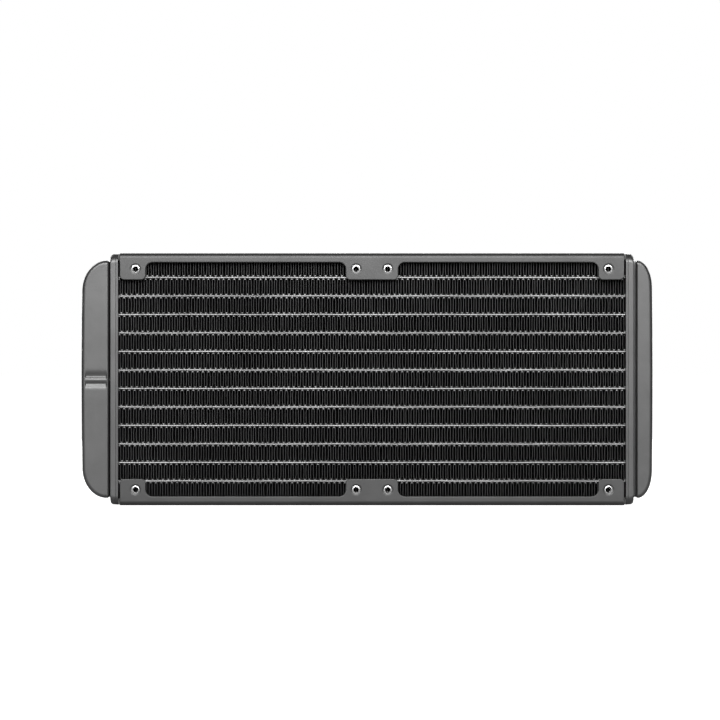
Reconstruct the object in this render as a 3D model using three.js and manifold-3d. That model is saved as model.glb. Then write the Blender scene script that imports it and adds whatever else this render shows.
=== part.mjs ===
// A liquid cooling radiator for two 120 mm fans, standing on its lower long edge.
// X runs along the length, Y through the thickness (the air's way) and Z up.
// The origin is the centre of the overall box, at its base. All sizes are millimetres.
//
// Coolant enters one half of the inlet tank, crosses six flat tubes to the return tank and comes
// back through the other six. A baffle parts the inlet tank's two halves. Corrugated fin strips
// fill the spaces between the tubes, and a steel rail with screw tabs closes each long side.

import * as THREE from "three";
import { mergeVertices } from "three/addons/utils/BufferGeometryUtils.js";
import Module from "manifold-3d";

const wasm = await Module();
wasm.setup();

// Driving dimensions.
const FAN_HOLE_SPACING = 105;
const FAN_GAP_SPACING = 15; // between the neighbouring holes of the two fans
const HEIGHT = 120;
const THICKNESS = 27;
const INLET_TANK_DEPTH = 13.7; // along X, from the header's face to the tank's end
const RETURN_TANK_DEPTH = 9;

// Core: flat tubes and the fin strips between them.
const TUBE_COUNT = 12;
const TUBE_PITCH = 8.82;
const TUBE_THICKNESS = 1.5;
const TUBE_WIDTH = 20;
const TUBE_WALL = 0.3;
const FIN_WIDTH = 19.4;
const FIN_PERIOD = 10; // one fold here stands for four of the real strip's 2.5 mm folds
const FIN_SHEET = 0.28; // and carries their metal
const BRAZE_GAP = 0.12; // left between brazed faces
const SIDE_PLATE_SHEET = 1;
const SIDE_PLATE_HEIGHT = 2;

// Rails.
const RAIL_SHEET = 1.2;
const RAIL_BEND_RADIUS = 1.2;
const FLANGE_HEIGHT = 4.4;
const TAB_HEIGHT = 12.7;
const END_TAB_WIDTH = 12.4;
const MIDDLE_TAB_WIDTH = 25;
const TAB_RADIUS = 2.2;
const TAB_FILLET = 3.2;
const SCREW_HOLE_RADIUS = 1.4; // the minor diameter of a 6-32 thread
const SCREW_INSET = 7.5; // hole centre to the rail's edges

// Headers and tanks.
const HEADER_WIDTH = 26.6;
const HEADER_HEIGHT = 119.4;
const HEADER_DEPTH = 3.9;
const HEADER_PLATE = 1.2;
const HEADER_RADIUS = 3;
const HEADER_SLOPE_RUN = 1.1;
const HEADER_SLOPE_DROP = 2.8;
const TANK_WIDTH = 25.4;
const TANK_HEIGHT = 113;
const TANK_WALL = 1;
const TANK_EDGE = 1.2;
const NECK_LENGTH = 1.6; // the groove left between the header and the tank's shoulder
const SKIRT_WIDTH = 22.9;
const SKIRT_HEIGHT = 111.6;
const SKIRT_LENGTH = 1.6;
const SKIRT_GAP = 0.2;
const INLET_CORNER_RADIUS = 10.8;
const RETURN_CORNER_RADIUS = 6.3;
const BEAD_OFFSET = 1.9; // from the baffle's middle to each pressed bead
const BEAD_WIDTH = 2.4;
const BEAD_DEPTH = 0.5;
const BAFFLE_THICKNESS = 1;

// Ports: threaded bushings in the inlet tank's end wall, bored to a G1/4 thread's minor diameter.
const PORT_OFFSET = 28; // each port's height above or below the middle
const PORT_BORE_RADIUS = 5.75;
const PORT_MOUTH_RADIUS = 6.7;
const PORT_RADIUS = 8.6;
const PORT_FLANGE_RADIUS = 10;
const PORT_FLANGE_THICKNESS = 1.5;
const PORT_LENGTH = 6.5;
const PORT_PROUD = 0.15;
const PORT_FIT = 0.2;
const PORT_SIDES = 32;

// Worked out from the above.
const RAIL_LENGTH = 2 * FAN_HOLE_SPACING + FAN_GAP_SPACING + 2 * SCREW_INSET;
const RAIL_TO_HEADER = 0.7;
const HEADER_FACE = RAIL_LENGTH / 2 + RAIL_TO_HEADER; // the header's core side, from the core's middle
const TANK_FACE = HEADER_FACE + HEADER_DEPTH;
const CORE_X = (INLET_TANK_DEPTH - RETURN_TANK_DEPTH + PORT_PROUD) / 2;
const MIDDLE_Z = HEIGHT / 2;
const FIN_HEIGHT = TUBE_PITCH - TUBE_THICKNESS - 2 * BRAZE_GAP;
const ARC_STEPS = 5;
const TUBE_ARC_STEPS = 4;

const painted = (colour, roughness) =>
  new THREE.MeshStandardMaterial({ color: colour, roughness, metalness: 0.2 });
const MATERIALS = {
  frame: painted(0x2b2b2d, 0.42),
  tank: painted(0x2c2c2e, 0.4),
  tube: painted(0x3a3a3c, 0.35),
  fin: painted(0x161617, 0.5),
  brass: new THREE.MeshStandardMaterial({ color: 0xb58a45, roughness: 0.35, metalness: 1 }),
};

const radiator = new THREE.Group();

function addMesh(name, geometry, material, x = 0, y = 0, z = 0) {
  const mesh = new THREE.Mesh(geometry, material);
  mesh.name = name;
  mesh.position.set(x, y, z);
  radiator.add(mesh);
  return mesh;
}

// Shapes are drawn flat and extruded about their middle, along one of the part's axes.
const ALONG_X = new THREE.Matrix4().makeBasis(
  new THREE.Vector3(0, 1, 0), new THREE.Vector3(0, 0, 1), new THREE.Vector3(1, 0, 0));
const ALONG_Y = new THREE.Matrix4().makeBasis(
  new THREE.Vector3(1, 0, 0), new THREE.Vector3(0, 0, 1), new THREE.Vector3(0, -1, 0));

function extrude(shape, length, frame, arcSteps = ARC_STEPS) {
  return new THREE.ExtrudeGeometry(shape, {
    depth: length, bevelEnabled: false, curveSegments: arcSteps,
  }).translate(0, 0, -length / 2).applyMatrix4(frame);
}

function roundedRectangle(width, height, radius) {
  const x = width / 2 - radius;
  const y = height / 2 - radius;
  return new THREE.Shape()
    .absarc(x, y, radius, 0, Math.PI / 2)
    .absarc(-x, y, radius, Math.PI / 2, Math.PI)
    .absarc(-x, -y, radius, Math.PI, 1.5 * Math.PI)
    .absarc(x, -y, radius, 1.5 * Math.PI, 2 * Math.PI);
}

function polygon(points) {
  return new THREE.Shape(points.map(([x, y]) => new THREE.Vector2(x, y)));
}

function boxBetween(low, high) {
  const size = high.map((value, i) => value - low[i]);
  const centre = high.map((value, i) => (value + low[i]) / 2);
  return new THREE.BoxGeometry(...size).translate(...centre);
}

// Joins and cuts.
function solid(geometry) {
  const bare = geometry.index ? geometry.toNonIndexed() : geometry.clone();
  bare.deleteAttribute("normal");
  bare.deleteAttribute("uv");
  const merged = mergeVertices(bare, 1e-4);
  return new wasm.Manifold(new wasm.Mesh({
    numProp: 3,
    vertProperties: merged.attributes.position.array,
    triVerts: new Uint32Array(merged.index.array),
  }));
}

function geometryOf(body) {
  const { numProp, vertProperties, triVerts } = body.getMesh();
  const positions = new Float32Array((vertProperties.length / numProp) * 3);
  for (let i = 0; i < positions.length / 3; i++) {
    positions.set(vertProperties.subarray(i * numProp, i * numProp + 3), i * 3);
  }
  const indexed = new THREE.BufferGeometry()
    .setAttribute("position", new THREE.BufferAttribute(positions, 3))
    .setIndex(new THREE.BufferAttribute(new Uint32Array(triVerts), 1));
  const flat = indexed.toNonIndexed();
  flat.computeVertexNormals();
  return flat;
}

const cut = (body, ...tools) => tools.reduce((rest, tool) => rest.subtract(solid(tool)), body);

// Flat tubes: each a rounded flat section, open at both ends.
function tubeShape(width, thickness) {
  const radius = thickness / 2;
  const reach = width / 2 - radius;
  return new THREE.Shape()
    .absarc(reach, 0, radius, -Math.PI / 2, Math.PI / 2)
    .absarc(-reach, 0, radius, Math.PI / 2, 1.5 * Math.PI);
}

function tubeHeight(index) {
  return MIDDLE_Z + (index - (TUBE_COUNT - 1) / 2) * TUBE_PITCH;
}

function addTubes() {
  const section = tubeShape(TUBE_WIDTH, TUBE_THICKNESS);
  section.holes.push(tubeShape(TUBE_WIDTH - 2 * TUBE_WALL, TUBE_THICKNESS - 2 * TUBE_WALL));
  const endBeyondPlate = 0.8;
  const length = 2 * (HEADER_FACE + HEADER_PLATE + endBeyondPlate);
  const tube = extrude(section, length, ALONG_X, TUBE_ARC_STEPS);
  for (let i = 0; i < TUBE_COUNT; i++) {
    addMesh(`tube_${String(i + 1).padStart(2, "0")}`, tube, MATERIALS.tube, CORE_X, 0, tubeHeight(i));
  }
}

// Fin strips: one folded sheet between each two tubes, and one outside each of the end tubes.
function finGeometry() {
  const halfPeriod = FIN_PERIOD / 2;
  const folds = RAIL_LENGTH / halfPeriod;
  const slopeLength = Math.hypot(halfPeriod, FIN_HEIGHT);
  const sheetUpright = (FIN_SHEET * slopeLength) / halfPeriod; // the sheet's thickness measured along Z
  const reach = (FIN_HEIGHT - sheetUpright) / 2;
  const line = [];
  for (let i = 0; i <= folds; i++) {
    line.push([i * halfPeriod - RAIL_LENGTH / 2, i % 2 ? reach : -reach]);
  }
  const lower = line.map(([x, z]) => [x, z - sheetUpright / 2]);
  const upper = line.map(([x, z]) => [x, z + sheetUpright / 2]).reverse();
  return extrude(polygon([...lower, ...upper]), FIN_WIDTH, ALONG_Y);
}

function addFins() {
  const fin = finGeometry();
  for (let i = 0; i <= TUBE_COUNT; i++) {
    const z = tubeHeight(i) - TUBE_PITCH / 2;
    addMesh(`fin_strip_${String(i + 1).padStart(2, "0")}`, fin, MATERIALS.fin, CORE_X, 0, z);
  }
}

// Side plates: shallow channels that the outermost fins are brazed to, hidden inside the rails.
function addSidePlates() {
  const side = FIN_WIDTH / 2;
  const inner = side - SIDE_PLATE_SHEET;
  const section = polygon([
    [-side, 0], [side, 0], [side, SIDE_PLATE_HEIGHT], [inner, SIDE_PLATE_HEIGHT],
    [inner, SIDE_PLATE_SHEET], [-inner, SIDE_PLATE_SHEET], [-inner, SIDE_PLATE_HEIGHT],
    [-side, SIDE_PLATE_HEIGHT],
  ]);
  const plate = extrude(section, 2 * (HEADER_FACE - BRAZE_GAP), ALONG_X);
  const fromMiddle = (TUBE_COUNT + 1) * TUBE_PITCH / 2 - TUBE_THICKNESS / 2;
  addMesh("side_plate_top", plate, MATERIALS.frame, CORE_X, 0, MIDDLE_Z + fromMiddle);
  addMesh("side_plate_bottom", plate, MATERIALS.frame, CORE_X, 0, MIDDLE_Z - fromMiddle)
    .rotation.x = Math.PI;
}

// Rails: a U-channel whose two flanges widen into screw tabs at the fans' corners.
function channelSection() {
  const outer = THICKNESS / 2;
  const inner = outer - RAIL_SHEET;
  const bend = outer - RAIL_BEND_RADIUS;
  return new THREE.Shape()
    .moveTo(outer, -TAB_HEIGHT)
    .lineTo(outer, -RAIL_BEND_RADIUS)
    .absarc(bend, -RAIL_BEND_RADIUS, RAIL_BEND_RADIUS, 0, Math.PI / 2)
    .absarc(-bend, -RAIL_BEND_RADIUS, RAIL_BEND_RADIUS, Math.PI / 2, Math.PI)
    .lineTo(-outer, -TAB_HEIGHT)
    .lineTo(-inner, -TAB_HEIGHT)
    .lineTo(-inner, -RAIL_SHEET)
    .lineTo(inner, -RAIL_SHEET)
    .lineTo(inner, -TAB_HEIGHT);
}

// The rail seen along Y, from its top edge at 0 downwards, drawn from right to left along the tabs.
function railOutline() {
  const end = RAIL_LENGTH / 2;
  const middle = MIDDLE_TAB_WIDTH / 2;
  const tabs = [[end - END_TAB_WIDTH, end], [-middle, middle], [-end, END_TAB_WIDTH - end]];
  const low = TAB_RADIUS - TAB_HEIGHT;
  const high = -FLANGE_HEIGHT - TAB_FILLET;
  const outline = new THREE.Shape().moveTo(-end, 1).lineTo(end, 1);
  tabs.forEach(([left, right], i) => {
    if (i > 0) outline.absarc(right + TAB_FILLET, high, TAB_FILLET, Math.PI / 2, Math.PI);
    outline.absarc(right - TAB_RADIUS, low, TAB_RADIUS, 0, -Math.PI / 2, true);
    outline.absarc(left + TAB_RADIUS, low, TAB_RADIUS, -Math.PI / 2, -Math.PI, true);
    if (i < tabs.length - 1) {
      outline.absarc(left - TAB_FILLET, high, TAB_FILLET, 0, Math.PI / 2);
    }
  });
  return outline;
}

function railGeometry() {
  const channel = solid(extrude(channelSection(), RAIL_LENGTH, ALONG_X));
  const outline = solid(extrude(railOutline(), THICKNESS + 2, ALONG_Y));
  const screwX = [];
  for (const side of [-1, 1]) {
    screwX.push(side * FAN_GAP_SPACING / 2, side * (FAN_GAP_SPACING / 2 + FAN_HOLE_SPACING));
  }
  const drills = screwX.map((x) =>
    new THREE.CylinderGeometry(SCREW_HOLE_RADIUS, SCREW_HOLE_RADIUS, THICKNESS + 2, 16)
      .translate(x, 0, -SCREW_INSET));
  return geometryOf(cut(channel.intersect(outline), ...drills));
}

function addRails() {
  const rail = railGeometry();
  addMesh("rail_top", rail, MATERIALS.frame, CORE_X, 0, HEIGHT);
  addMesh("rail_bottom", rail, MATERIALS.frame, CORE_X, 0, 0).rotation.x = Math.PI;
}

// Headers: a pan with a slot for each tube and a pocket that takes the tank's skirt.
function headerGeometry() {
  const top = HEADER_HEIGHT / 2;
  const shoulder = HEADER_DEPTH - HEADER_SLOPE_RUN;
  const profile = polygon([
    [0, -top], [shoulder, -top], [HEADER_DEPTH, HEADER_SLOPE_DROP - top],
    [HEADER_DEPTH, top - HEADER_SLOPE_DROP], [shoulder, top], [0, top],
  ]);
  const pan = extrude(roundedRectangle(HEADER_WIDTH, HEADER_HEIGHT, HEADER_RADIUS), HEADER_DEPTH, ALONG_X)
    .translate(HEADER_DEPTH / 2, 0, 0);
  const body = solid(pan).intersect(solid(extrude(profile, HEADER_WIDTH + 2, ALONG_Y)));
  const pocketWidth = SKIRT_WIDTH + 2 * SKIRT_GAP;
  const pocketHeight = SKIRT_HEIGHT + 2 * SKIRT_GAP;
  const pocket = boxBetween(
    [HEADER_PLATE, -pocketWidth / 2, -pocketHeight / 2],
    [HEADER_DEPTH + 1, pocketWidth / 2, pocketHeight / 2]);
  const slotShape = tubeShape(TUBE_WIDTH + 2 * BRAZE_GAP, TUBE_THICKNESS + 2 * BRAZE_GAP);
  const slots = [];
  for (let i = 0; i < TUBE_COUNT; i++) {
    slots.push(extrude(slotShape, 2 * HEADER_DEPTH, ALONG_X, TUBE_ARC_STEPS)
      .translate(0, 0, tubeHeight(i) - MIDDLE_Z));
  }
  return geometryOf(cut(body, pocket, ...slots));
}

function addHeaders() {
  const header = headerGeometry();
  addMesh("header_return", header, MATERIALS.tank, CORE_X + HEADER_FACE, 0, MIDDLE_Z);
  addMesh("header_inlet", header, MATERIALS.tank, CORE_X - HEADER_FACE, 0, MIDDLE_Z)
    .rotation.z = Math.PI;
}

// Tanks: a drawn shell whose skirt sits in the header's pocket. X runs from the header's face outwards.
function tankOutline(depth, height, radius, start) {
  const top = height / 2;
  const outline = [[start, top], [start, -top]];
  for (const [side, from] of [[-1, -Math.PI / 2], [1, 0]]) {
    for (let i = 0; i <= ARC_STEPS; i++) {
      const angle = from + (i / ARC_STEPS) * (Math.PI / 2);
      outline.push([
        depth - radius + radius * Math.cos(angle),
        side * (top - radius) + radius * Math.sin(angle),
      ]);
    }
  }
  return outline;
}

// A closed body through convex outlines of equal point count, stacked along Y.
function loft(layers) {
  const count = layers[0].outline.length;
  const positions = layers.flatMap(({ y, outline }) => outline.flatMap(([x, z]) => [x, y, z]));
  const triangles = [];
  for (let layer = 0; layer < layers.length - 1; layer++) {
    for (let i = 0; i < count; i++) {
      const a = layer * count + i;
      const b = layer * count + ((i + 1) % count);
      triangles.push(a, a + count, b, b, a + count, b + count);
    }
  }
  const last = (layers.length - 1) * count;
  for (let i = 1; i < count - 1; i++) {
    triangles.push(0, i, i + 1, last, last + i + 1, last + i);
  }
  return new THREE.BufferGeometry()
    .setAttribute("position", new THREE.Float32BufferAttribute(positions, 3))
    .setIndex(triangles);
}

// The shell's outside, with its front and back edges rounded.
function tankOutside(depth, radius) {
  const steps = 3;
  const layers = [];
  for (const side of [-1, 1]) {
    for (let i = 0; i <= steps; i++) {
      const angle = ((side < 0 ? i : steps - i) / steps) * (Math.PI / 2);
      const inset = TANK_EDGE * (1 - Math.sin(angle));
      layers.push({
        y: side * (TANK_WIDTH / 2 - TANK_EDGE * (1 - Math.cos(angle))),
        outline: tankOutline(depth - inset, TANK_HEIGHT - 2 * inset, radius - inset, NECK_LENGTH),
      });
    }
  }
  return loft(layers);
}

function tankBody(depth, radius) {
  const shoulder = NECK_LENGTH + TANK_WALL;
  const skirt = boxBetween(
    [-SKIRT_LENGTH, -SKIRT_WIDTH / 2, -SKIRT_HEIGHT / 2],
    [shoulder, SKIRT_WIDTH / 2, SKIRT_HEIGHT / 2]);
  const walls = 2 * TANK_WALL;
  const hollow = tankOutline(depth - TANK_WALL, TANK_HEIGHT - walls, radius - TANK_WALL, shoulder);
  const chamber = loft([-1, 1].map((side) => ({
    y: side * (TANK_WIDTH - walls) / 2,
    outline: hollow,
  })));
  const mouth = boxBetween(
    [-SKIRT_LENGTH - 1, TANK_WALL - SKIRT_WIDTH / 2, TANK_WALL - SKIRT_HEIGHT / 2],
    [shoulder + 0.1, SKIRT_WIDTH / 2 - TANK_WALL, SKIRT_HEIGHT / 2 - TANK_WALL]);
  return cut(solid(tankOutside(depth, radius)).add(solid(skirt)), chamber, mouth);
}

// One bead: a shallow channel pressed round the tank's front, end and back.
function beadCutter(z) {
  const reach = INLET_TANK_DEPTH + 2;
  const half = BEAD_WIDTH / 2;
  const start = NECK_LENGTH + TANK_EDGE;
  const ring = solid(boxBetween([start, -TANK_WIDTH, z - half], [reach, TANK_WIDTH, z + half]));
  const kept = boxBetween(
    [0, BEAD_DEPTH - TANK_WIDTH / 2, z - BEAD_WIDTH],
    [INLET_TANK_DEPTH - BEAD_DEPTH, TANK_WIDTH / 2 - BEAD_DEPTH, z + BEAD_WIDTH]);
  return cut(ring, kept);
}

function inletTankGeometry() {
  let body = tankBody(INLET_TANK_DEPTH, INLET_CORNER_RADIUS);
  for (const side of [-1, 1]) {
    body = body.subtract(beadCutter(side * BEAD_OFFSET));
    const radius = PORT_RADIUS + PORT_FIT;
    body = cut(body, new THREE.CylinderGeometry(radius, radius, 4, PORT_SIDES)
      .rotateZ(-Math.PI / 2).translate(INLET_TANK_DEPTH, 0, side * PORT_OFFSET));
  }
  return geometryOf(body);
}

function addTanks() {
  const returnTank = geometryOf(tankBody(RETURN_TANK_DEPTH, RETURN_CORNER_RADIUS));
  addMesh("tank_return", returnTank, MATERIALS.tank, CORE_X + TANK_FACE, 0, MIDDLE_Z);
  addMesh("tank_inlet", inletTankGeometry(), MATERIALS.tank, CORE_X - TANK_FACE, 0, MIDDLE_Z)
    .rotation.z = Math.PI;
}

// The baffle parts the inlet tank between the sixth and seventh tubes.
function addBaffle() {
  const fit = 0.2;
  const start = HEADER_PLATE - HEADER_DEPTH + fit;
  const end = INLET_TANK_DEPTH - TANK_WALL - fit;
  const neck = SKIRT_WIDTH / 2 - TANK_WALL - fit;
  const wide = TANK_WIDTH / 2 - TANK_WALL - fit;
  const step = NECK_LENGTH + TANK_WALL + fit;
  const outline = polygon([
    [start, -neck], [step, -neck], [step, -wide], [end, -wide],
    [end, wide], [step, wide], [step, neck], [start, neck],
  ]);
  const plate = extrude(outline, BAFFLE_THICKNESS, new THREE.Matrix4());
  addMesh("tank_baffle", plate, MATERIALS.brass, CORE_X - TANK_FACE, 0, MIDDLE_Z)
    .rotation.z = Math.PI;
}

// Port bushings: turned rings brazed into the end wall from inside, with a flange behind the wall.
function addPorts() {
  const flangeStart = TANK_WALL + PORT_PROUD + PORT_FIT;
  const flangeEnd = flangeStart + PORT_FLANGE_THICKNESS;
  const mouthDepth = PORT_MOUTH_RADIUS - PORT_BORE_RADIUS;
  const profile = [
    [PORT_BORE_RADIUS, mouthDepth], [PORT_BORE_RADIUS, PORT_LENGTH], [PORT_RADIUS, PORT_LENGTH],
    [PORT_RADIUS, flangeEnd], [PORT_FLANGE_RADIUS, flangeEnd], [PORT_FLANGE_RADIUS, flangeStart],
    [PORT_RADIUS, flangeStart], [PORT_RADIUS, 0], [PORT_MOUTH_RADIUS, 0],
    [PORT_BORE_RADIUS, mouthDepth],
  ].map(([radius, along]) => new THREE.Vector2(radius, along)).reverse();
  // The profile runs inwards from the seat, so the bushing's own axis points into the tank, along +X.
  const bushing = new THREE.LatheGeometry(profile, PORT_SIDES).rotateZ(-Math.PI / 2);
  const seatX = CORE_X - TANK_FACE - INLET_TANK_DEPTH - PORT_PROUD;
  addMesh("port_bushing_upper", bushing, MATERIALS.brass, seatX, 0, MIDDLE_Z + PORT_OFFSET);
  addMesh("port_bushing_lower", bushing, MATERIALS.brass, seatX, 0, MIDDLE_Z - PORT_OFFSET);
}

addTubes();
addFins();
addSidePlates();
addRails();
addHeaders();
addTanks();
addBaffle();
addPorts();

export default radiator;
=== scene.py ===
"""Looks for the liquid cooling radiator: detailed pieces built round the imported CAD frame."""

import math
import random

import bmesh
import bpy
import numpy as np
from mathutils import Matrix, Vector


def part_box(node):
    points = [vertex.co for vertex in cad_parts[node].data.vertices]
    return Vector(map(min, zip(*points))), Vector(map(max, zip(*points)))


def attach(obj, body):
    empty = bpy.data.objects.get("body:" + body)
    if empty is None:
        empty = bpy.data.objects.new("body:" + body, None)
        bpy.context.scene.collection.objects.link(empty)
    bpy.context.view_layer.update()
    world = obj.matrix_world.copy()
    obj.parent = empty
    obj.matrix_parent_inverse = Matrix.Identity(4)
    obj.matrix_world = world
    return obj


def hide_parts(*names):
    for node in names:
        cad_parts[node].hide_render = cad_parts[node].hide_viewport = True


MM = 0.001
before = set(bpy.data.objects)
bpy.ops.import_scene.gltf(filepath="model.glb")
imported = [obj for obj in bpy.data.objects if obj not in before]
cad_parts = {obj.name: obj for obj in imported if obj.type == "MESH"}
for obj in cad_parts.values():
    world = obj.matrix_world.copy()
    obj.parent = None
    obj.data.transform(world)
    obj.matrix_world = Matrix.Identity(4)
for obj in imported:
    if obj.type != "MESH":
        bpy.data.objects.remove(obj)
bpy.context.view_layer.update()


def mm_box(node):
    """A CAD node's lowest and highest corners in millimetres."""
    low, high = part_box(node)
    return np.array(low) / MM, np.array(high) / MM


# Where things are, in millimetres.
RAIL_LOW, RAIL_HIGH = mm_box("rail_top")
CORE_X = (RAIL_LOW[0] + RAIL_HIGH[0]) / 2
RAIL_HALF = (RAIL_HIGH[0] - RAIL_LOW[0]) / 2
HALF_THICK = RAIL_HIGH[1]
MIDDLE_Z = RAIL_HIGH[2] / 2
TUBES = sorted(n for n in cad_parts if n.startswith("tube_"))
FINS = sorted(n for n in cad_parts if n.startswith("fin_strip_"))

# Camera, in millimetres and pixels; the scale is that of the radiator's front face.
PICTURE_PIXELS = 720
PIXELS_PER_MM = 2.1035
CAMERA_DISTANCE = 1500.0
CAMERA_X = CORE_X - 5.7
CAMERA_Z = 69.2
SENSOR = 36.0
CLIP_NEAR, CLIP_FAR = 0.05, 20  # metres


def link(obj):
    bpy.context.scene.collection.objects.link(obj)
    return obj


def make_camera():
    data = bpy.data.cameras.new("camera")
    data.sensor_width = SENSOR
    data.lens = SENSOR * CAMERA_DISTANCE * PIXELS_PER_MM / PICTURE_PIXELS
    data.clip_start, data.clip_end = CLIP_NEAR, CLIP_FAR
    camera = link(bpy.data.objects.new("camera", data))
    camera.location = Vector((CAMERA_X, -HALF_THICK - CAMERA_DISTANCE, CAMERA_Z)) * MM
    camera.rotation_euler = (math.pi / 2, 0, 0)
    bpy.context.scene.camera = camera


make_camera()

# ---------------------------------------------------------------- mesh tools

SAME_PLANE = 0.3  # degrees between faces that still count as one plane
SMALL_STEPS = 4  # points round the corner of a tongue or a neck


class Builder:
    """Collects vertices and faces in millimetres and turns them into a piece."""

    def __init__(self):
        self.vertices = []
        self.faces = []
        self.smooth = []

    def add(self, points, faces, smooth=True):
        start = len(self.vertices)
        self.vertices.extend(map(tuple, points))
        self.faces.extend(tuple(i + start for i in face) for face in faces)
        self.smooth.extend([smooth] * len(faces))

    def cap(self, ring):
        """One flat face that closes a ring of points."""
        self.add(ring, [tuple(range(len(ring)))], smooth=False)

    def grid(self, rows, closed_u=False, closed_v=False, smooth=True):
        """Rows of equal length; closed_u joins last row to first, closed_v joins each row's ends."""
        rows = [list(row) for row in rows]
        count, length = len(rows), len(rows[0])
        faces = []
        for i in range(count if closed_u else count - 1):
            for j in range(length if closed_v else length - 1):
                a = i * length + j
                b = i * length + (j + 1) % length
                c = ((i + 1) % count) * length + (j + 1) % length
                d = ((i + 1) % count) * length + j
                faces.append((a, b, c, d))
        self.add([p for row in rows for p in row], faces, smooth)

    def closed_tube(self, rows):
        """Rings joined one to the next, with a flat face over the first and the last."""
        self.grid(rows, closed_v=True)
        for row in (rows[0], rows[-1]):
            self.cap(row)

    def piece(self, name, material, merge=1e-4, angle=35.0, flatten=True, dissolve=False):
        """The finished object. flatten keeps large faces flat where they meet the small ones of a rounded
        edge, and dissolve joins faces that lie in one plane."""
        mesh = bpy.data.meshes.new(name)
        mesh.from_pydata([Vector(v) * MM for v in self.vertices], [], self.faces)
        mesh.polygons.foreach_set("use_smooth", self.smooth)
        bm = bmesh.new()
        bm.from_mesh(mesh)
        bmesh.ops.remove_doubles(bm, verts=bm.verts, dist=merge * MM)
        if dissolve:
            bmesh.ops.dissolve_limit(
                bm, angle_limit=math.radians(SAME_PLANE), verts=bm.verts, edges=bm.edges
            )
        bmesh.ops.recalc_face_normals(bm, faces=bm.faces)
        bm.to_mesh(mesh)
        bm.free()
        mesh.set_sharp_from_angle(angle=math.radians(angle))
        mesh.materials.append(material)
        obj = link(bpy.data.objects.new(name, mesh))
        if flatten:
            flatten_large_faces(obj)
        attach(obj, "root")
        return obj


def apply_modifiers(obj):
    """Puts what the modifiers make of the mesh in its place and drops them."""
    bpy.context.view_layer.update()
    depsgraph = bpy.context.evaluated_depsgraph_get()
    made = bpy.data.meshes.new_from_object(obj.evaluated_get(depsgraph))
    obj.modifiers.clear()
    old, obj.data = obj.data, made
    bpy.data.meshes.remove(old)


def flatten_large_faces(obj):
    weighting = obj.modifiers.new("flatten", "WEIGHTED_NORMAL")
    weighting.mode = "FACE_AREA"
    weighting.weight = 100
    weighting.keep_sharp = True
    apply_modifiers(obj)


def arc(cx, cy, radius, start, end, steps):
    """Points on an arc, angles in degrees."""
    out = []
    for i in range(steps + 1):
        a = math.radians(start + (end - start) * i / steps)
        out.append((cx + radius * math.cos(a), cy + radius * math.sin(a)))
    return out


def circle(cx, cy, radius, steps):
    """Points on a whole circle, each once."""
    return arc(cx, cy, radius, 0, 360, steps)[:-1]


def quarter_turn(steps):
    """Angles from 0 to a right angle, in radians."""
    return np.linspace(0, math.pi / 2, steps)


def rounded_rectangle(half_y, half_z, radius, steps=8):
    """Points round a rectangle in the YZ plane."""
    points = []
    for sy, sz, start in ((1, 1, 0), (-1, 1, 90), (-1, -1, 180), (1, -1, 270)):
        cy, cz = sy * (half_y - radius), sz * (half_z - radius)
        points += arc(cy, cz, radius, start, start + 90, steps)
    return points


# ---------------------------------------------------------------- materials


def new_material(name):
    material = bpy.data.materials.new(name)
    material.use_nodes = True
    tree = material.node_tree
    shader = tree.nodes["Principled BSDF"]
    return material, tree, shader


def object_coordinates(tree):
    """Object coordinates in metres."""
    return tree.nodes.new("ShaderNodeTexCoord").outputs["Object"]


def noise(tree, vector, scale, detail=4.0, roughness=0.5):
    node = tree.nodes.new("ShaderNodeTexNoise")
    node.inputs["Scale"].default_value = scale
    node.inputs["Detail"].default_value = detail
    node.inputs["Roughness"].default_value = roughness
    tree.links.new(vector, node.inputs["Vector"])
    return node.outputs["Fac"]


def ramp(tree, value, stops):
    """A ramp of greys; stops are (position, grey)."""
    node = tree.nodes.new("ShaderNodeValToRGB")
    elements = node.color_ramp.elements
    while len(elements) < len(stops):
        elements.new(0.5)
    for element, (position, grey) in zip(elements, stops):
        element.position = position
        element.color = (grey, grey, grey, 1.0)
    tree.links.new(value, node.inputs["Fac"])
    return node.outputs["Color"]


def to_range(tree, value, low, high):
    """0..1 to low..high."""
    node = tree.nodes.new("ShaderNodeMapRange")
    node.inputs["To Min"].default_value = low
    node.inputs["To Max"].default_value = high
    tree.links.new(value, node.inputs["Value"])
    return node.outputs["Result"]


def bump(tree, shader, height, strength, distance, normal=None):
    """Adds bump to the shader, on top of another bump's normal if one is given."""
    node = tree.nodes.new("ShaderNodeBump")
    node.inputs["Strength"].default_value = strength
    node.inputs["Distance"].default_value = distance
    tree.links.new(height, node.inputs["Height"])
    if normal is not None:
        tree.links.new(normal, node.inputs["Normal"])
    tree.links.new(node.outputs["Normal"], shader.inputs["Normal"])
    return node.outputs["Normal"]


# Noise as (scale, detail, roughness), and bump as (strength, distance in metres).
MOTTLE = (55, 5, 0.6)
SPECKLE = (900, 3, 0.6)
ORANGE_PEEL = (1500, 2, 0.5)
SWELL = (160, 2, 0.5)
SWELL_BUMP = (0.05, 0.0006)
PEEL_DISTANCE = 0.00006
TURNING = (1800, 4, 0.6)
TURNING_BUMP = (0.2, 0.00005)
NOISE_ENDS = (0.3, 0.7)  # where on the noise the darker and the lighter colour start


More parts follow.
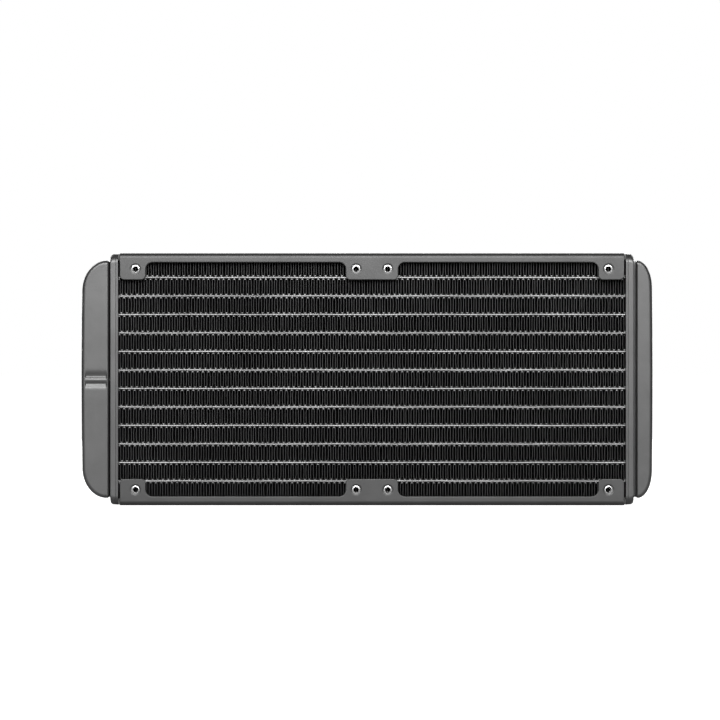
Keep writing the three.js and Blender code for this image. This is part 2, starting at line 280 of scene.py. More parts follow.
def powder_coat(name, dark, light, rough_low, rough_high, metallic, grain=0.35):
    """Satin black powder coat: fine orange peel, faint mottling in colour and gloss."""
    material, tree, shader = new_material(name)
    shader.inputs["Metallic"].default_value = metallic
    shader.inputs["IOR"].default_value = 1.5
    space = object_coordinates(tree)
    colour = ramp(tree, noise(tree, space, *MOTTLE), list(zip(NOISE_ENDS, (dark, light))))
    tree.links.new(colour, shader.inputs["Base Color"])
    gloss = to_range(tree, noise(tree, space, *SPECKLE), rough_low, rough_high)
    tree.links.new(gloss, shader.inputs["Roughness"])
    swollen = bump(tree, shader, noise(tree, space, *SWELL), *SWELL_BUMP)
    bump(tree, shader, noise(tree, space, *ORANGE_PEEL), grain, PEEL_DISTANCE, swollen)
    return material


def turned_metal(name, dark, light, rough_low, rough_high):
    """Bare cut metal in the tapped holes and ports: bright, finely turned."""
    material, tree, shader = new_material(name)
    shader.inputs["Metallic"].default_value = 1.0
    streak = noise(tree, object_coordinates(tree), *TURNING)
    colour = ramp(tree, streak, list(zip(NOISE_ENDS, (dark, light))))
    tree.links.new(colour, shader.inputs["Base Color"])
    tree.links.new(to_range(tree, streak, rough_low, rough_high), shader.inputs["Roughness"])
    bump(tree, shader, streak, *TURNING_BUMP)
    return material


# The rails' coat is a darker copy of the tank's black coat: painted shade, so the tabs read darker as if
# tilted from the light.
COAT = powder_coat("powder_coat_rail_painted_shade", 0.064, 0.079, 0.42, 0.52, 0.75)
COAT_TANK = powder_coat("powder_coat_tank", 0.088, 0.108, 0.34, 0.46, 0.75)
# The tubes' thin coat is made much lighter than the other black coats: a painted highlight, so each
# tube's rounded nose shows as a bright line.
TUBE_COAT_HIGHLIGHT = powder_coat("thin_coat_tube", 0.19, 0.31, 0.25, 0.4, 0.85, 0.2)
COAT_FIN = powder_coat("thin_coat_fin", 0.035, 0.06, 0.4, 0.6, 0.6, 0.2)
BARE = turned_metal("bare_metal", 0.62, 0.92, 0.18, 0.34)

# ---------------------------------------------------------------- rails

SHEET = 1.2
# The flange's free edge: its depth below the top between the tabs, then the tabs' own measures.
FLANGE = 4.4
TAB_REACH = 12.7
END_TAB = 12.4
MIDDLE_TAB = 25.0
TAB_CORNER = 2.2
TAB_FILLET = 3.2
TAB_STEPS = 8
EDGE_ROUND = 0.45
EDGE_ROUND_STEPS = 3
# The web between the two flanges.
BEND, BEND_STEPS = 2.2, 8
INNER_BEND, INNER_STEPS = 0.3, 3
END_CHAMFER = 0.25
FLANGE_START = BEND - 0.5  # the flange's rounded top edge is buried in the bend
SECTION_END = BEND + 0.4  # the web's section runs on this far down the flange,
SECTION_SUNK = 0.05  # this far below its surface
# The screw holes.
HOLE_INSET = 7.5
FAN_GAP = 15.0
FAN_HOLES = 105.0
HOLES_X = [side * x for side in (-1, 1) for x in (FAN_GAP / 2, FAN_GAP / 2 + FAN_HOLES)]
HOLE_STEPS = 48
# A hole's painted dimple: the rounded hole in the flange, then radius and depth inwards and back.
DIMPLE_RADIUS = 2.8
DIMPLE_PROFILE = (
    (2.72, 0.1),
    (2.5, 0.13),
    (2.2, 0.21),
    (1.95, 0.26),
    (1.86, 0.3),
    (1.86, 1.1),
    (2.7, 1.1),
)
# The bare thread in it: radius and depth of its mouth and of its back, with the crests between.
RING_RADIUS = 1.85
THREAD_RADIUS = 1.35
THREAD_MOUTH = (
    (RING_RADIUS + 0.05, 0.7),
    (RING_RADIUS + 0.05, 0.27),
    (RING_RADIUS - 0.06, 0.2),
    (THREAD_RADIUS + 0.2, 0.2),
    (THREAD_RADIUS + 0.02, 0.66),
)
THREAD_BACK = (
    (THREAD_RADIUS, 2.7),
    (THREAD_RADIUS + 0.5, 2.7),
    (RING_RADIUS + 0.1, 1.3),
    (RING_RADIUS + 0.1, 0.5),
)
THREAD_START, THREAD_END = 0.7, 2.5
SCREW_PITCH = 0.4
ROOT_OUT, CREST_IN = 0.06, 0.12  # roots outside and crests inside the thread's radius
THREAD_STEPS = 36
# The tongue at each end of a rail, which closes the gap to the header under the web.
TONGUE_REACH = 0.9
TONGUE_ROOT = 3.0
TONGUE_HALF_WIDTH = 12.0
TONGUE_HALF_HEIGHT = 1.4
TONGUE_DEPTH = 1.85
TONGUE_CORNER = 0.3
TONGUE_CHAMFER = 0.15


def rail_face_outline():
    """The flange's free edge, from the rail's left end to its right one: (x, depth below the top)."""
    end, middle = RAIL_HALF, MIDDLE_TAB / 2
    tabs = [(-end, END_TAB - end), (-middle, middle), (end - END_TAB, end)]
    points = []
    for i, (left, right) in enumerate(tabs):
        if i > 0:
            points += arc(left - TAB_FILLET, FLANGE + TAB_FILLET, TAB_FILLET, -90, 0, TAB_STEPS)
        points += arc(left + TAB_CORNER, TAB_REACH - TAB_CORNER, TAB_CORNER, 180, 90, TAB_STEPS)
        points += arc(right - TAB_CORNER, TAB_REACH - TAB_CORNER, TAB_CORNER, 90, 0, TAB_STEPS)
        if i < 2:
            points += arc(right + TAB_FILLET, FLANGE + TAB_FILLET, TAB_FILLET, 180, 270, TAB_STEPS)
    return points


def flange_mesh(name):
    """One flange with its tabs, rolled edges and holes: coordinates (x, -depth, y) and faces."""
    curve = bpy.data.curves.new(name + "_flange", "CURVE")
    curve.dimensions = "2D"
    curve.fill_mode = "BOTH"
    curve.bevel_depth = EDGE_ROUND
    curve.bevel_resolution = EDGE_ROUND_STEPS
    curve.offset = -EDGE_ROUND
    curve.extrude = SHEET / 2 - EDGE_ROUND
    outline = [(-RAIL_HALF, FLANGE_START)] + rail_face_outline() + [(RAIL_HALF, FLANGE_START)]
    holes = [circle(x, HOLE_INSET, DIMPLE_RADIUS - EDGE_ROUND, HOLE_STEPS) for x in HOLES_X]
    for loop in [outline] + holes:
        spline = curve.splines.new("POLY")
        spline.points.add(len(loop) - 1)
        for point, (x, down) in zip(spline.points, loop):
            point.co = (x, -down, 0, 1)
        spline.use_cyclic_u = True
    holder = bpy.data.objects.new("holder", curve)
    mesh = bpy.data.meshes.new_from_object(holder)
    bpy.data.objects.remove(holder)
    bpy.data.curves.remove(curve)
    coordinates = np.array([v.co[:] for v in mesh.vertices])
    faces = [tuple(p.vertices) for p in mesh.polygons]
    bpy.data.meshes.remove(mesh)
    return coordinates, faces


def web_section():
    """The web and its two bends, end on: (y, depth below the top) once round."""
    inner = HALF_THICK - SHEET
    outside = [(HALF_THICK - SECTION_SUNK, SECTION_END)]
    outside += arc(HALF_THICK - BEND, BEND, BEND, 0, -90, BEND_STEPS)
    inside = [(inner + SECTION_SUNK, SECTION_END)]
    inside += arc(
        inner - INNER_BEND, SHEET + INNER_BEND, INNER_BEND, 0, -90, INNER_STEPS
    )
    section = outside + [(-y, down) for y, down in reversed(outside)]
    section += [(-y, down) for y, down in inside] + inside[::-1]
    return section


def add_web(builder):
    section = web_section()
    rows = []
    for x, shrink in (
        (-RAIL_HALF, END_CHAMFER),
        (-RAIL_HALF + END_CHAMFER, 0.0),
        (RAIL_HALF - END_CHAMFER, 0.0),
        (RAIL_HALF, END_CHAMFER),
    ):
        narrow = 1 - shrink / HALF_THICK
        rows.append([(x, y * narrow, -max(down, shrink)) for y, down in section])
    builder.closed_tube(rows)


def add_tongue(builder, side):
    tip = RAIL_HALF + TONGUE_REACH
    rows = []
    for x, shrink in (
        (RAIL_HALF - TONGUE_ROOT, 0.0),
        (tip - TONGUE_CHAMFER, 0.0),
        (tip, TONGUE_CHAMFER),
    ):
        ring = rounded_rectangle(
            TONGUE_HALF_WIDTH - shrink, TONGUE_HALF_HEIGHT - shrink, TONGUE_CORNER, SMALL_STEPS
        )
        rows.append([(side * x, y, z - TONGUE_DEPTH) for y, z in ring])
    builder.closed_tube(rows)


def add_dimple(builder, x, side):
    rings = []
    for radius, depth in DIMPLE_PROFILE:
        ring = circle(x, -HOLE_INSET, radius, HOLE_STEPS)
        rings.append([(px, side * (HALF_THICK - depth), pz) for px, pz in ring])
    builder.grid(rings, closed_u=True, closed_v=True)


def make_rail(name):
    """A bent channel with rounded bends, rolled tab edges and dimpled holes, drawn round its own origin:
    the middle of its length and thickness, at the web's outer face."""
    builder = Builder()
    flange, faces = flange_mesh(name)
    for side in (-1, 1):
        y = side * (HALF_THICK - SHEET / 2) - side * flange[:, 2]
        builder.add(np.column_stack([flange[:, 0], y, flange[:, 1]]), faces)
    add_web(builder)
    for side in (-1, 1):
        add_tongue(builder, side)
    for x in HOLES_X:
        for side in (-1, 1):
            add_dimple(builder, x, side)
    return builder


def place(builder, x, z, flip):
    """Moves what was drawn round a rail's own origin to its place; flip turns it upside down."""
    sign = -1 if flip else 1
    builder.vertices = [(vx + x, vy, z + sign * vz) for vx, vy, vz in builder.vertices]
    if flip:
        builder.faces = [tuple(reversed(face)) for face in builder.faces]
    return builder


def add_thread(builder, x, side, z):
    """A tapped hole: a chamfered mouth, then crests and roots down its wall, with a collar behind."""
    profile = list(THREAD_MOUTH)
    depth = THREAD_START
    while depth < THREAD_END:
        profile.append((THREAD_RADIUS + ROOT_OUT, depth))
        profile.append((THREAD_RADIUS - CREST_IN, depth + SCREW_PITCH / 2))
        depth += SCREW_PITCH
    profile += THREAD_BACK
    rows = []
    for radius, depth in profile:
        ring = circle(0, 0, radius, THREAD_STEPS)
        rows.append([(x + px, side * HALF_THICK - side * depth, z + pz) for px, pz in ring])
    builder.grid(rows, closed_u=True, closed_v=True)


def make_rails():
    for node, flip in (("rail_top", False), ("rail_bottom", True)):
        low, high = mm_box(node)
        z = low[2] if flip else high[2]
        builder = place(make_rail(node), CORE_X, z, flip)
        rail = builder.piece(node + "_channel", COAT, angle=40, dissolve=True)
        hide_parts(node)
        threads = Builder()
        hole_z = z + HOLE_INSET if flip else z - HOLE_INSET
        for x in HOLES_X:
            for side in (-1, 1):
                add_thread(threads, CORE_X + x, side, hole_z)
        rings = threads.piece(node + "_threads", BARE, angle=50)


# ---------------------------------------------------------------- fins and tubes

FOLD = 2.5
FIN_SHEET = 0.16
FIN_SEED = 100
# Where the crests are: a wandering error from one to the next, two slow waves as (size, pace), and
# the least distance between neighbours.
WANDER_KEPT = 0.7
WANDER_SPREAD = 0.07
SLOW_WAVES = ((0.2, 0.09), (0.1, 0.31))
CREST_SPACING = 0.8
# What a crest looks like: its height, how far it sinks into the tube, its width as a share of the
# room it has, the extra thickness that braze gives it and how that varies.
CREST_HEIGHT = 0.42
CREST_SUNK = 0.1
CREST_WIDTH = 0.96
CREST_BRAZE = 0.5
BRAZE_RANGE = (0.5, 1.3)
CREST_SHARES = (-1.0, -0.8, -0.5, -0.2, 0.0, 0.2, 0.5, 0.8, 1.0)
CREST_HIGHLIGHT_BAND = 0.06  # the faces within this of a crest's top take the tubes' lighter coat: a painted highlight on the brazed crests
# The flanks between the crests, which lean and bow unevenly.
FLANK_SHARES = (0.3, 0.7)
LEAN_SPREAD = 0.07
BOW_SPREAD = 0.11
# The folds run in a slight herringbone through the core: share of its depth, sideways shift.
HERRINGBONE = ((-1.0, 0.0), (-0.8, 0.0), (-0.27, 1.15), (0.27, -1.15), (0.8, 0.0), (1.0, 0.0))
# The strips run right up to the headers' faces and a little into them.
STRIP_SUNK = 0.1
STRIP_ENDS = (
    mm_box("header_inlet")[1][0] + STRIP_SUNK,
    mm_box("header_return")[0][0] - STRIP_SUNK,
)


def crest_places(source, low, high):
    """Uneven places of a strip's crests along X."""
    folds = round((high - low) / (FOLD / 2))
    phase = source.uniform(0, 2 * math.pi)
    (size_1, pace_1), (size_2, pace_2) = SLOW_WAVES
    wander = 0.0
    places = []
    for i in range(folds + 1):
        wander = WANDER_KEPT * wander + source.gauss(0, WANDER_SPREAD)
        slow = size_1 * math.sin(phase + i * pace_1) + size_2 * math.sin(phase * 2 + i * pace_2)
        x = min(max(low + (high - low) * i / folds + wander + slow, low), high)
        if places:
            x = max(x, places[-1] + CREST_SPACING)
        places.append(x)
    return places


def fold_line(source, low, high, z_low, z_high):
    """The middle line of a folded strip, rounded crests joined by slightly bowed, uneven flanks, and the
    sheet's thickness along it, swollen by braze at the crests."""
    places = crest_places(source, low, high)
    line = []
    thickness = []
    for i, x in enumerate(places):
        up = i % 2 == 0
        crest, other = (z_high, z_low) if up else (z_low, z_high)
        sign = -1 if up else 1
        left = (x - places[i - 1]) / 2 if i > 0 else FOLD / 4
        right = (places[i + 1] - x) / 2 if i + 1 < len(places) else FOLD / 4
        lean = source.gauss(0, LEAN_SPREAD)
        bow = source.gauss(0, BOW_SPREAD)
        braze = source.uniform(*BRAZE_RANGE)
        for share in CREST_SHARES:
            half = left if share < 0 else right
            drop = CREST_HEIGHT * (1 - math.sqrt(max(0.0, 1 - abs(share) ** 2)))
            line.append((x + share * half * CREST_WIDTH, crest + sign * drop))
            thickness.append(FIN_SHEET + CREST_BRAZE * (1 - abs(share)) ** 2 * braze)
        if i + 1 < len(places):
            near, far = crest + sign * CREST_HEIGHT, other - sign * CREST_HEIGHT
            for share in FLANK_SHARES:
                shift = bow * math.sin(math.pi * share) + lean * (share - 0.5)
                line.append((x + right + shift, near * (1 - share) + far * share))
                thickness.append(FIN_SHEET)
    return line, np.array(thickness)[:, None]


def ribbon(builder, line, half_y, thickness):
    """A closed sheet that follows line (x, z) and runs through the core in a herringbone."""
    points = np.array(line)
    tangent = np.gradient(points, axis=0)
    tangent /= np.linalg.norm(tangent, axis=1)[:, None] + 1e-9
    normal = np.column_stack([-tangent[:, 1], tangent[:, 0]])
    rows = []
    for side, stations in ((1, HERRINGBONE), (-1, HERRINGBONE[::-1])):
        skin = points + side * normal * thickness / 2
        for share, shift in stations:
            rows.append([(x + shift, share * half_y, z) for x, z in skin])
    builder.grid(rows, closed_u=True)
    for i in (0, len(line) - 1):
        builder.cap([row[i] for row in rows])


def make_fins():
    for index, node in enumerate(FINS):
        low, high = mm_box(node)
        source = random.Random(FIN_SEED + index)
        line, thickness = fold_line(
            source, *STRIP_ENDS, low[2] - CREST_SUNK, high[2] + CREST_SUNK
        )
        builder = Builder()
        ribbon(builder, line, (high[1] - low[1]) / 2, thickness)
        strip = builder.piece(node + "_folds", COAT_FIN, angle=50, flatten=False)
        # The crest faces take the tubes' lighter coat as a painted highlight.
        strip.data.materials.append(TUBE_COAT_HIGHLIGHT)
        for face in strip.data.polygons:
            z = face.center.z / MM
            face.material_index = int(min(z - low[2], high[2] - z) + CREST_SUNK < CREST_HIGHLIGHT_BAND)
        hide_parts(node)


TUBE_SEED = 500
TUBE_STATIONS = 120
TUBE_WALL = 0.3
NOSE = 1.7  # how far a tube's edge tapers to its rounded nose
TUBE_WAVES = ((0.05, 0.11), (0.03, 0.31))  # size and pace of a tube's slight waviness


def flat_section(half_y, half_z, nose, steps=10):
    """A flat tube's cross-section: flat sides and a drawn-out round nose at each edge."""
    right = [(half_y - nose + nose * c, half_z * s) for c, s in arc(0, 0, 1, -90, 90, steps)]
    return right + [(-y, -dz) for y, dz in right]


def make_tubes():
    """Flat tubes, open at both ends, with a rounded nose at each edge."""
    (size_1, pace_1), (size_2, pace_2) = TUBE_WAVES
    for index, node in enumerate(TUBES):
        low, high = mm_box(node)
        z = (low[2] + high[2]) / 2
        half_z = (high[2] - low[2]) / 2
        half_y = (high[1] - low[1]) / 2
        outer = flat_section(half_y, half_z, NOSE)
        inner = flat_section(half_y - TUBE_WALL, half_z - TUBE_WALL, NOSE - TUBE_WALL)
        phase = random.Random(TUBE_SEED + index).uniform(0, 6.28)
        rings = []
        for x in np.linspace(low[0], high[0], TUBE_STATIONS):
            wave = size_1 * math.sin(phase + x * pace_1)
            wave += size_2 * math.sin(2 * phase + x * pace_2)
            rings.append([[(x, y, z + wave + dz) for y, dz in ring] for ring in (outer, inner)])
        builder = Builder()
        builder.grid([outside for outside, _ in rings], closed_v=True)
        builder.grid([rings[0][1], rings[-1][1]], closed_v=True)
        for end in (rings[0], rings[-1]):
            builder.grid(end, closed_v=True, smooth=False)
        tube = builder.piece(node + "_flat", TUBE_COAT_HIGHLIGHT, angle=50, flatten=False)
        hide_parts(node)


# ---------------------------------------------------------------- headers and tanks

HEADER_CORNER = 4.2
CORNER_SHRINK = 0.6  # how much a corner's radius shrinks with the inset
CORNER_LEAST = 0.4
SEAM = 1.15
# The plate's rim and its seam, as (distance from the core side, inset in Y, extra inset in Z).
HEADER_RIM = (
    (0.0, 0.35, 0.0),
    (0.1, 0.12, 0.0),
    (0.35, 0.0, 0.0),
    (SEAM - 0.22, 0.0, 0.0),
    (SEAM - 0.08, 0.05, 0.0),
    (SEAM, 0.2, 0.0),
    (SEAM + 0.08, 0.05, 0.0),
    (SEAM + 0.22, 0.0, 0.05),
)
# The collar, its rounded mouth and the pocket inside, with the distance taken from the tank's side.
HEADER_COLLAR = (
    (1.3, 0.0, 0.1),
    (0.85, 0.0, 0.28),
    (0.42, 0.0, 0.6),
    (0.26, 0.03, 0.82),
    (0.12, 0.1, 1.1),
    (0.03, 0.24, 1.4),
    (0.0, 0.42, 1.7),
    (0.1, 0.8, 1.8),
    (2.6, 0.85, 1.8),
)


def make_header(node, outward):
    """A pressed pan with a seam near the core and a rounded collar that takes the tank."""
    low, high = mm_box(node)
    face_x = low[0] if outward > 0 else high[0]  # the side towards the core
    half_y, half_z = (high[1] - low[1]) / 2, (high[2] - low[2]) / 2
    depth = high[0] - low[0]
    profile = list(HEADER_RIM) + [(depth - back, y, z) for back, y, z in HEADER_COLLAR]
    rows = []
    for along, inset, extra in profile:
        radius = max(CORNER_LEAST, HEADER_CORNER - inset * CORNER_SHRINK)
        ring = rounded_rectangle(half_y - inset, half_z - (inset + extra), radius)
        rows.append([(face_x + outward * along, y, MIDDLE_Z + z) for y, z in ring])
    builder = Builder()
    builder.closed_tube(rows)
    header = builder.piece(node + "_pan", COAT_TANK, angle=38)
    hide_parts(node)


TANK_EDGE = 1.7
EDGE_STEPS = 8
SHOULDER = 0.95
SHOULDER_STEPS = 7
CORNER_STEPS = 18
TANK_MERGE = 2e-2
CUT_STEPS = 64
# The neck below the shoulder: its inset from the tank, its corner and how far it runs into the header.
NECK_INSET_Y, NECK_INSET_Z = 4.6, 0.35
NECK_CORNER = 0.6
RIM_CORNER = 0.05
NECK_REACH = 1.2
# The two pressed grooves: height of the deepest line, spread above it and spread below it.
GROOVES = ((61.5, 1.7, 1.0), (57.9, 1.0, 1.4))
GROOVE_DEPTH = 0.55
GROOVE_FADE = 0.5  # how far from the face's side edges a groove fades out
FACE_COLUMNS = (
    0, 0.025, 0.05, 0.075, 0.1, 0.15, 0.3, 0.5, 0.7, 0.85, 0.9, 0.925, 0.95, 0.975, 1.0
)
# The end wall's points are close together across its middle, where the grooves are.
FINE_HALF, FINE_POINTS = 6.8, 96
COARSE_START, COARSE_POINTS = 7.0, 14


def smooth_step(t):
    return t * t * (3 - 2 * t)


def groove_depth(z):
    """How deep the two pressed grooves are at a height."""
    total = 0.0
    for centre, above, below in GROOVES:
        total += math.exp(-(((z - centre) / (above if z > centre else below)) ** 2))
    return GROOVE_DEPTH * total


def tank_outline(depth, half_z, corner_x, corner_z, bow, start):
    """The tank seen from the front: points (x outwards, z up from the middle) and outward normals."""
    corner = []
    for i in range(CORNER_STEPS + 1):
        a = math.pi / 2 * i / CORNER_STEPS
        x = depth - bow - corner_x * (1 - math.sin(a))
        corner.append((x, half_z - corner_z * (1 - math.cos(a))))
    straight = half_z - corner_z
    stations = list(np.linspace(straight, COARSE_START, COARSE_POINTS))
    stations += list(np.linspace(FINE_HALF, -FINE_HALF, FINE_POINTS))
    stations += list(np.linspace(-COARSE_START, -straight, COARSE_POINTS))
    upper = [(start, half_z)] + corner
    middle = [(depth - bow * (z / straight) ** 2, z) for z in stations[1:-1]]
    lower = [(x, -z) for x, z in reversed(upper)]
    points = np.array(upper + middle + lower)
    tangent = np.gradient(points, axis=0)
    tangent[0] = (1, 0)
    tangent[-1] = (-1, 0)
    tangent /= np.linalg.norm(tangent, axis=1)[:, None]
    return points, np.column_stack([-tangent[:, 1], tangent[:, 0]])


class Tank:
    """A drawn shell's measures, and the parts of its skin as they are added to its builder."""

    def __init__(self, node, header, outward, corner_x, corner_z, bow, neck_gap, grooved):
        low, high = mm_box(node)
        header_low, header_high = mm_box(header)
        self.outward = outward
        self.face_x = header_high[0] if outward > 0 else header_low[0]
        depth = high[0] - self.face_x if outward > 0 else self.face_x - low[0]
        self.half_y, self.half_z = (high[1] - low[1]) / 2, (high[2] - low[2]) / 2
        self.neck_gap = neck_gap
        self.start = neck_gap + SHOULDER
        self.points, self.normals = tank_outline(
            depth, self.half_z, corner_x, corner_z, bow, self.start
        )
        self.sunk = [groove_depth(MIDDLE_Z + z) if grooved else 0.0 for _, z in self.points]
        self.builder = Builder()

    def at(self, x, y, z):
        """A point given by its distance out from the header and its height from the middle."""
        return (self.face_x + self.outward * x, y, MIDDLE_Z + z)

    def edge_y(self, a, side):
        return side * (self.half_y - TANK_EDGE * (1 - math.cos(a)))

    def shoulder_x(self, a):
        return self.start - SHOULDER * math.sin(a)

    def add_wall(self):
        """The end wall, with the rolled edges on both sides of it."""
        layers = []
        for side in (-1, 1):
            turn = [
                (TANK_EDGE * (1 - math.sin(a)), self.edge_y(a, side))
                for a in quarter_turn(EDGE_STEPS)
            ]
            layers += turn if side < 0 else turn[::-1]
        rows = []
        for inset, y in layers:
            wall = self.points - self.normals * inset
            rows.append([self.at(x, y, z) for x, z in wall])
        self.builder.grid(rows)

    def add_face(self, side):
        """The flat front or back with its grooves, and the shoulder that rolls in towards the neck."""
        inner = range(1, len(self.points) - 1)
        face = []
        for k in inner:
            edge_x, z = self.points[k] - self.normals[k] * TANK_EDGE
            row = []
            for share in FACE_COLUMNS:
                x = self.start + (edge_x - self.start) * share
                fade = min(1.0, (x - self.start) / GROOVE_FADE, (edge_x - x) / GROOVE_FADE)
                y = side * (self.half_y - self.sunk[k] * smooth_step(fade))
                row.append(self.at(x, y, z))
            face.append(row)
        self.builder.grid(face)
        roll = []
        for a in quarter_turn(SHOULDER_STEPS):
            x, y = self.shoulder_x(a), self.edge_y(a, side)
            roll.append(
                [self.at(x, y, self.points[k][1] - self.normals[k][1] * TANK_EDGE) for k in inner]
            )
        self.builder.grid(roll)

    def add_shoulder_end(self, up):
        """The shoulder's top (up = 1) or bottom (up = -1), with a rounded corner at each side."""
        flat_y = self.half_y - TANK_EDGE
        roll = []
        for a in quarter_turn(SHOULDER_STEPS):
            z = up * (self.half_z - TANK_EDGE * (1 - math.cos(a)))
            roll.append([self.at(self.shoulder_x(a), y, z) for y in (-flat_y, flat_y)])
        self.builder.grid(roll)
        for side in (-1, 1):
            ball = []
            for a in quarter_turn(SHOULDER_STEPS):
                spread = TANK_EDGE * math.cos(a)
                row = []
                for b in quarter_turn(SHOULDER_STEPS):
                    y = side * (flat_y + spread * math.sin(b))
                    z = up * (self.half_z - TANK_EDGE + spread * math.cos(b))
                    row.append(self.at(self.shoulder_x(a), y, z))
                ball.append(row)
            self.builder.grid(ball)

    def add_neck(self):
        """The shoulder's flat underside and the neck that runs from it into the header."""
        rim = rounded_rectangle(
            self.half_y - TANK_EDGE, self.half_z - TANK_EDGE, RIM_CORNER, SMALL_STEPS
        )
        neck = rounded_rectangle(
            self.half_y - NECK_INSET_Y, self.half_z - NECK_INSET_Z, NECK_CORNER, SMALL_STEPS
        )
        rows = [[self.at(self.neck_gap, y, z) for y, z in ring] for ring in (rim, neck)]
        rows.append([self.at(-NECK_REACH, y, z) for y, z in neck])
        self.builder.grid(rows, closed_v=True)
        self.builder.cap(rows[-1])


def make_tank(node, *measures):
    """A drawn shell: flat faces, rolled edges, rounded corners and, on the inlet tank, two grooves."""
    shell = Tank(node, *measures)
    shell.add_wall()
    for side in (-1, 1):
        shell.add_face(side)
    for up in (1, -1):
        shell.add_shoulder_end(up)
    shell.add_neck()
    tank = shell.builder.piece(node + "_shell", COAT_TANK, merge=TANK_MERGE, angle=35)
    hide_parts(node)
    return tank


def cut_round_holes(obj, places, radius, depth):
    """Cuts round holes of that depth into obj from its end face, at places (x, y, z) along +X."""
    for place_mm in places:
        turn = Matrix.Rotation(math.pi / 2, 4, "Y")
        bm = bmesh.new()
        bmesh.ops.create_cone(
            bm,
            cap_ends=True,
            segments=CUT_STEPS,
            radius1=radius * MM,
            radius2=radius * MM,
            depth=2 * depth * MM,
            matrix=Matrix.Translation(Vector(place_mm) * MM) @ turn,
        )
        mesh = bpy.data.meshes.new("cutter")
        bm.to_mesh(mesh)
        bm.free()
        cutter = link(bpy.data.objects.new("cutter", mesh))
        cutting = obj.modifiers.new("cut", "BOOLEAN")
        cutting.object = cutter
        cutting.operation = "DIFFERENCE"
        cutting.solver = "EXACT"
        apply_modifiers(obj)
        bpy.data.objects.remove(cutter)
    obj.data.set_sharp_from_angle(angle=math.radians(35))
    flatten_large_faces(obj)


# A port bushing: radius and distance in from its seat. The flange's rim, the seat with a turned
# groove and the bore's chamfered mouth; then one thread and the bore's end.
PORT_RIM = ((8.55, 0.25), (8.35, 0.05), (8.2, 0.0))
PORT_SEAT = ((7.3, 0.0), (7.24, 0.06), (7.18, 0.0), (6.85, 0.0), (6.7, 0.1), (6.3, 0.6))
PORT_THREAD = ((6.5, 0.0), (6.45, 0.15), (5.8, 0.6), (5.76, 0.78))
PORT_THREAD_START = 0.7
PORT_BORE = 6.1
PORT_STEPS = 72
THREAD_PITCH = 1.337
PAINTED_RADIUS = 7.0  # paint covers the bushing outside this
PORT_POCKET = (8.7, 7.4)  # radius and depth of the hole it sits in


def make_port(node):
    """A turned bushing: flat seat with a fine groove, chamfered mouth and a thread down its bore."""
    low, high = mm_box(node)
    z = (low[2] + high[2]) / 2
    length = high[0] - low[0]
    profile = [(PORT_RIM[0][0], length), *PORT_RIM, *PORT_SEAT]
    along = PORT_THREAD_START
    while along < length - THREAD_PITCH:
        profile += [(radius, along + step) for radius, step in PORT_THREAD]
        along += THREAD_PITCH
    profile += [(PORT_BORE - 0.2, length - 0.2), (PORT_BORE, length)]
    rows = []
    for radius, along in profile:
        ring = circle(0, 0, radius, PORT_STEPS)
        rows.append([(low[0] + along, py, z + pz) for py, pz in ring])
    builder = Builder()
    builder.grid(rows, closed_u=True, closed_v=True)
    port = builder.piece(node + "_threaded", BARE, angle=40)
    port.data.materials.append(COAT_TANK)
    for face in port.data.polygons:
        _, y, up = face.center / MM
        face.material_index = int(math.hypot(y, up - z) > PAINTED_RADIUS)
    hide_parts(node)


def make_tanks():
    """Both tanks, given outward direction, corner in X and Z, bow, gap to the header and grooves."""
    inlet = make_tank("tank_inlet", "header_inlet", -1, 11.6, 14.5, 0.35, 0.5, True)
    make_tank("tank_return", "header_return", 1, 6.9, 13.0, 0.25, 1.15, False)
    end_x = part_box("tank_inlet")[0][0] / MM
    places = []
    for node in ("port_bushing_upper", "port_bushing_lower"):
        low, high = mm_box(node)
        places.append((end_x, 0, (low[2] + high[2]) / 2))
        make_port(node)
    cut_round_holes(inlet, places, *PORT_POCKET)


def finish_hidden():
    """The pieces that keep their CAD mesh get the rails' coat, with its painted shade."""
    for node in ("side_plate_top", "side_plate_bottom", "tank_baffle"):
        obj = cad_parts[node]
        obj.data.materials.clear()
        obj.data.materials.append(COAT)


# ---------------------------------------------------------------- stage and light

# Brightness of the surround from straight in front (0) to straight behind (1).
SURROUND = [(0.0, 1.9), (0.04, 1.1), (0.12, 0.1), (0.3, 0.05), (0.9, 0.05), (0.97, 0.15)]
FLOOR_HALF = 12.0
FLOOR_NOISE = (3, 2)
FLOOR_GREY = [(0.4, 0.38), (0.6, 0.4)]
FLOOR_ROUGHNESS = 0.9
WHITE = (1.0, 1.0, 1.0, 1.0)
# Lights in metres and watts: name, place, target, width, height, power.
MIDDLE = (0, 0, 0.06)
LIGHTS = (
    ("front_soft", (0.0, -1.0, 0.42), MIDDLE, 1.0, 0.3, 6.2),
    ("near_top", (0.0, -0.5, 0.36), (0, 0, 0.1), 0.7, 0.16, 3),
    ("back_soft", (0.0, 1.2, 0.25), MIDDLE, 1.3, 0.4, 16),
    ("back_left", (-0.8, 0.9, 0.9), MIDDLE, 0.5, 0.5, 4),
    ("back_right", (0.8, 0.9, 0.9), MIDDLE, 0.5, 0.5, 4),
)


def camera_ray(tree):
    return tree.nodes.new("ShaderNodeLightPath").outputs["Is Camera Ray"]


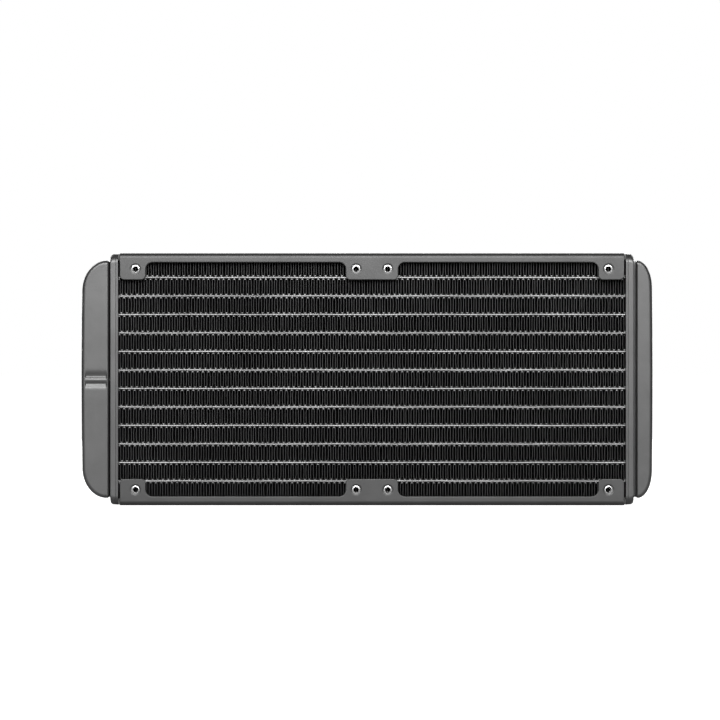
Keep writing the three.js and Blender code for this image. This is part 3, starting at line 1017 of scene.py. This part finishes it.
def make_stage():
    """A plain floor that is white to the eye and lights the part from below only a little."""
    material, tree, shader = new_material("backdrop")
    shader.inputs["Roughness"].default_value = FLOOR_ROUGHNESS
    shader.inputs["Emission Color"].default_value = WHITE
    tree.links.new(camera_ray(tree), shader.inputs["Emission Strength"])
    grey = ramp(tree, noise(tree, object_coordinates(tree), *FLOOR_NOISE), FLOOR_GREY)
    tree.links.new(grey, shader.inputs["Base Color"])
    mesh = bpy.data.meshes.new("floor")
    corners = ((-1, -1), (1, -1), (1, 1), (-1, 1))
    points = [(x * FLOOR_HALF, y * FLOOR_HALF, 0) for x, y in corners]
    mesh.from_pydata(points, [], [(0, 1, 2, 3)])
    mesh.materials.append(material)
    floor = link(bpy.data.objects.new("floor", mesh))


def area_light(name, place_m, target, width, height, power):
    data = bpy.data.lights.new(name, "AREA")
    data.shape = "RECTANGLE"
    data.size, data.size_y = width, height
    data.energy = power
    light = link(bpy.data.objects.new(name, data))
    light.location = place_m
    aim = Vector(target) - Vector(place_m)
    light.rotation_euler = aim.to_track_quat("-Z", "Y").to_euler()
    light.visible_camera = False


def to_unit(tree, value):
    """-1..1 to 0..1."""
    node = tree.nodes.new("ShaderNodeMapRange")
    node.inputs["From Min"].default_value = -1
    tree.links.new(value, node.inputs["Value"])
    return node.outputs["Result"]


def make_surround():
    """A studio with a soft glow straight in front and behind, dark elsewhere; white to the eye."""
    world = bpy.data.worlds.new("surround")
    world.use_nodes = True
    tree = world.node_tree
    coordinates = tree.nodes.new("ShaderNodeTexCoord")
    split = tree.nodes.new("ShaderNodeSeparateXYZ")
    tree.links.new(coordinates.outputs["Generated"], split.inputs["Vector"])
    glow = ramp(tree, to_unit(tree, split.outputs["Y"]), SURROUND)
    mixed = tree.nodes.new("ShaderNodeMix")
    mixed.data_type = "RGBA"
    tree.links.new(camera_ray(tree), mixed.inputs["Factor"])
    tree.links.new(glow, mixed.inputs["A"])
    mixed.inputs["B"].default_value = WHITE
    tree.links.new(mixed.outputs["Result"], tree.nodes["Background"].inputs["Color"])
    bpy.context.scene.world = world


def make_lights():
    for light in LIGHTS:
        area_light(*light)
    make_surround()
    bpy.context.scene.view_settings.view_transform = "Standard"


make_rails()
make_fins()
make_tubes()
make_header("header_inlet", -1)
make_header("header_return", 1)
make_tanks()
finish_hidden()
make_stage()
make_lights()

bpy.context.view_layer.update()
